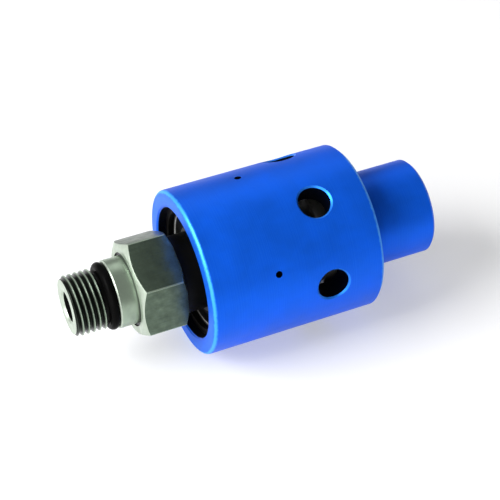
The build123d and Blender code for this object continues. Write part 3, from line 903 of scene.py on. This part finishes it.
def hexagon_bar(settings):
    """A hexagonal bar with slightly broken corners."""
    bm = bmesh.new()
    corner_radius = settings.hex_flats / math.sqrt(3)
    bmesh.ops.create_cone(
        bm,
        cap_ends=True,
        segments=6,
        radius1=corner_radius,
        radius2=corner_radius,
        depth=settings.hex_length + 4.0 * MM,
    )
    corners = [edge for edge in bm.edges if abs(edge.verts[0].co.z - edge.verts[1].co.z) > MM]
    bmesh.ops.bevel(
        bm, geom=corners, offset=0.25 * MM, affect="EDGES", segments=3, profile=0.5, material=-1
    )
    upright = Matrix.Rotation(math.pi / 2, 4, "Y")
    turn = Matrix.Rotation(settings.hex_turn, 4, "X")
    shift = Matrix.Translation((settings.hex_length / 2, 0, 0))
    bmesh.ops.transform(bm, matrix=shift @ turn @ upright, verts=bm.verts)
    bmesh.ops.recalc_face_normals(bm, faces=bm.faces)
    return bm


def break_edges(nut):
    """Breaks the hexagon's sharp edges with a narrow bevel."""
    bevel = nut.modifiers.new("Edge break", "BEVEL")
    bevel.width = 0.22 * MM
    bevel.segments = 2
    bevel.limit_method = "ANGLE"
    bevel.angle_limit = math.radians(24)
    bevel.use_clamp_overlap = True
    apply_modifiers(nut)


class BuildRotor(bpy.types.Operator):
    """Turn the rotor, cut its thread and mill its hexagon"""

    bl_idname = "union.build_rotor"
    bl_label = "Rotor"

    def execute(self, context):
        settings = context.scene.union_rotor
        piece = object_from(lathe(shaft_outline(settings)), "threaded_rotor")
        combine(piece, thread_cutter(settings), "DIFFERENCE")
        nut = object_from(lathe(hexagon_envelope(settings)), "hexagon")
        combine(nut, hexagon_bar(settings), "INTERSECT")
        break_edges(nut)
        bm = bmesh.new()
        bm.from_mesh(nut.data)
        bpy.data.objects.remove(nut)
        combine(piece, bm, "UNION")
        drop_slivers(piece)
        root = THREAD_RADIUS - THREAD_DEPTH * settings.pitch
        # Painted shade in the thread's grooves, from the root up to near the crest.
        groove_shade = (root + 0.50 * MM, THREAD_RADIUS - 0.04 * MM)
        finishes = (
            steel_material("fine_stainless", settings.steel, 0.33, 5200.0, 0.012 * MM),
            steel_material("thread_steel", settings.steel, 0.30, 5200.0, 0.006 * MM, groove_shade=groove_shade),
            drawn_bar_material("drawn_bar", settings.flats, 0.34),
            # Painted shade on the rotor inside the housing, in its relief ring and on its seal land.
            steel_material("oily_steel", settings.shaded, 0.40, 5200.0, 0.010 * MM),
            steel_material("faced_steel", settings.faced_and_lit, 0.38, 5200.0, 0.010 * MM),
        )

        def choose(along, radius, end_on, outward):
            # The collar, journal and seat inside the housing, the relief ring and the seal land take the
            # painted shade.
            in_relief = 0 < along < 0.45 * MM and PILOT_RADIUS - 0.1 * MM < radius < 9.85 * MM
            on_land = -8.3 * MM < along < -5.0 * MM and radius < THREAD_RADIUS - 0.3 * MM
            if along > settings.hex_length - 0.01 * MM or in_relief or on_land and radius > 5.0 * MM:
                return 3
            if along < O_RING_FRONT - MM / 2 and abs(end_on) < 0.99 and radius > root - 0.05 * MM:
                return 1
            # Faces turned to the front take the lighter copy: partly a faced finish, partly painted light.
            if end_on < -0.4:
                return 4
            off_flat = abs(radius - settings.hex_flats / 2)
            return 2 if along > 0 and abs(end_on) < 0.1 and off_flat < MM else 0

        finish_faces(piece, finishes, choose)
        dress(piece, None, "stainless", "rotor", "rotor")
        return {"FINISHED"}


# Seals, bearings and small pieces


class BuildOring(bpy.types.Operator):
    """Roll the rotor's O-ring"""

    bl_idname = "union.build_o_ring"
    bl_label = "O-ring"

    def execute(self, context):
        section = (O_RING_BACK - O_RING_FRONT) / 2
        middle = ((O_RING_BACK + O_RING_FRONT) / 2, O_RING_RADIUS - section)
        points = arc(middle, section, 0, 345, 23)
        piece = object_from(lathe(points, COARSE_TURNING), "o_ring")
        dress(piece, shared_material("black_rubber"), "black_rubber", "rotor", "rotor_o_ring")
        return {"FINISHED"}


FINISH_OF_SLOT = {"stainless": "plain_steel"}
SLOT_OF_NODE = {part["node"]: part["material_slot"] for part in frame["record"]["subparts"]}
BODY_OF_NODE = {
    node: body for body, members in frame["record"]["behaviour"]["bodies"].items() for node in members
}


def dress_copies(nodes):
    """Stands a joined, smooth copy with its own finish in the place of each node."""
    made = []
    for node in nodes:
        slot = SLOT_OF_NODE[node]
        copy = merged_copy(node, "fine_" + node)
        finish = shared_material(FINISH_OF_SLOT.get(slot, slot))
        made.append(dress(copy, finish, slot, BODY_OF_NODE[node], node))
    return made


def paint_front_shade(ring):
    """Leaves a bearing ring bright, with painted shade on its face to the front."""
    finishes = (shared_material("bearing_steel"), shared_material("black_steel"))
    finish_faces(ring, finishes, lambda along, radius, end_on, outward: int(end_on < -0.5))


class BuildBearings(bpy.types.Operator):
    """Finish both ball bearings, their spacers and the wave spring"""

    bl_idname = "union.build_bearings"
    bl_label = "Bearings"

    def execute(self, context):
        bearing_pieces = ("outer_ring", "inner_ring", "balls", "cage", "front_seal", "rear_seal")
        nodes = [f"{end}_bearing_{piece}" for end in ("front", "rear") for piece in bearing_pieces]
        made = dress_copies(nodes + ["bearing_spacer_inner", "bearing_spacer_outer", "wave_spring"])
        # The front bearing's rings sit in the housing's mouth; their front faces get painted shade.
        front_rings = made[:2]
        for ring in front_rings:
            paint_front_shade(ring)
        return {"FINISHED"}


class BuildRetainers(bpy.types.Operator):
    """Finish the retaining rings, the slinger and the drive pins"""

    bl_idname = "union.build_retainers"
    bl_label = "Rings and pins"

    def execute(self, context):
        dress_copies(["housing_retaining_ring", "rotor_retaining_ring", "slinger", "drive_pins"])
        return {"FINISHED"}


def leave_oil_film(ring):
    """Draws the turning seal face back, so that the two faces don't cut into each other."""
    face = SEAL_END - 0.002 * MM
    for vert in ring.data.vertices:
        vert.co.x = min(vert.co.x, face)


class BuildFaceSeal(bpy.types.Operator):
    """Finish the face seal, its carrier and its spring"""

    bl_idname = "union.build_face_seal"
    bl_label = "Face seal"

    def execute(self, context):
        nodes = ["stationary_seal_ring", "seal_carrier", "carrier_o_ring", "carrier_backup_ring"]
        dress_copies(nodes)
        turning_ring, spring = dress_copies(["rotating_seal_ring", "seal_spring"])
        leave_oil_film(turning_ring)
        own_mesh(spring)
        return {"FINISHED"}


# Stage

LIGHTS = (
    ("key", (-0.70, 0.05, 0.55), 0.6),
    ("back", (0.25, 0.60, 0.60), 0.5),
    ("fill", (-0.45, -0.60, 0.28), 0.5),
)
AIM_OFFSET = Vector((1.27, 0.20, 0.84)) * MM
FLOOR_HALF_WIDTH = 3.0
SENSOR_WIDTH = 36.0
NEAREST_SEEN = 0.01


def area_light(name, place, target, size, power):
    """Adds a soft white square light that faces a target."""
    data = bpy.data.lights.new(name, "AREA")
    data.shape = "SQUARE"
    data.size = size
    data.energy = power
    light = bpy.data.objects.new(name, data)
    bpy.context.scene.collection.objects.link(light)
    light.location = place
    light.rotation_euler = (target - Vector(place)).to_track_quat("-Z", "Y").to_euler()


class SetStage(bpy.types.Operator):
    """Lay the floor and set the lights and the camera"""

    bl_idname = "union.set_stage"
    bl_label = "Stage"

    def execute(self, context):
        settings = context.scene.union_stage
        middle = (CAD_LOW + CAD_HIGH) / 2
        bm = bmesh.new()
        bmesh.ops.create_grid(bm, x_segments=1, y_segments=1, size=FLOOR_HALF_WIDTH)
        bmesh.ops.translate(bm, vec=(middle.x, 0, CAD_LOW.z), verts=bm.verts)
        floor = object_from(bm, "floor")
        material, _, shader = blank_material("floor", Roughness=0.9)
        shader.inputs["Base Color"].default_value = (*settings.floor_colour, 1.0)
        shader.inputs["Emission Color"].default_value = (1.0, 1.0, 1.0, 1.0)
        shader.inputs["Emission Strength"].default_value = settings.floor_glow
        floor.data.materials.append(material)

        world = bpy.data.worlds.new("studio")
        world.use_nodes = True
        world.node_tree.nodes["Background"].inputs["Color"].default_value = (1.0, 1.0, 1.0, 1.0)
        world.node_tree.nodes["Background"].inputs["Strength"].default_value = settings.room_glow
        context.scene.world = world
        context.scene.view_settings.view_transform = "Standard"
        for name, place, size in LIGHTS:
            area_light(name, place, middle, size, getattr(settings, name + "_power"))

        lens = bpy.data.cameras.new("camera")
        lens.lens = settings.lens
        lens.sensor_width = SENSOR_WIDTH
        lens.clip_start = NEAREST_SEEN
        camera = bpy.data.objects.new("camera", lens)
        context.scene.collection.objects.link(camera)
        level = math.cos(settings.elevation)
        back = Vector(
            (
                math.sin(settings.azimuth) * level,
                -math.cos(settings.azimuth) * level,
                math.sin(settings.elevation),
            )
        )
        aim = middle + AIM_OFFSET
        camera.location = aim + back * settings.distance
        camera.rotation_euler = back.to_track_quat("Z", "Y").to_euler()
        context.scene.camera = camera
        return {"FINISHED"}


BUILD_STEPS = (BuildHousing, BuildRotor, BuildOring, BuildBearings, BuildRetainers, BuildFaceSeal, SetStage)


class UnionPanel(bpy.types.Panel):
    """Lists the sizes, the colours and the steps."""

    bl_idname = "VIEW3D_PT_union"
    bl_label = "Rotary union"
    bl_space_type = "VIEW_3D"
    bl_region_type = "UI"
    bl_category = "Union"

    def draw(self, context):
        for step in BUILD_STEPS:
            self.layout.operator(step.bl_idname)
        for name in SETTINGS:
            group = getattr(context.scene, name)
            box = self.layout.box()
            for label in group.__annotations__:
                box.prop(group, label)


SETTINGS = {"union_housing": HousingSettings, "union_rotor": RotorSettings, "union_stage": StageSettings}
CLASSES = (*SETTINGS.values(), *BUILD_STEPS, UnionPanel)


def register():
    for cls in CLASSES:
        bpy.utils.register_class(cls)
    for name, group in SETTINGS.items():
        setattr(bpy.types.Scene, name, PointerProperty(type=group))


def unregister():
    for name in SETTINGS:
        delattr(bpy.types.Scene, name)
    for cls in reversed(CLASSES):
        bpy.utils.unregister_class(cls)


def main():
    register()
    for step in BUILD_STEPS:
        category, name = step.bl_idname.split(".")
        getattr(getattr(bpy.ops, category), name)()


if __name__ == "__main__":
    main()
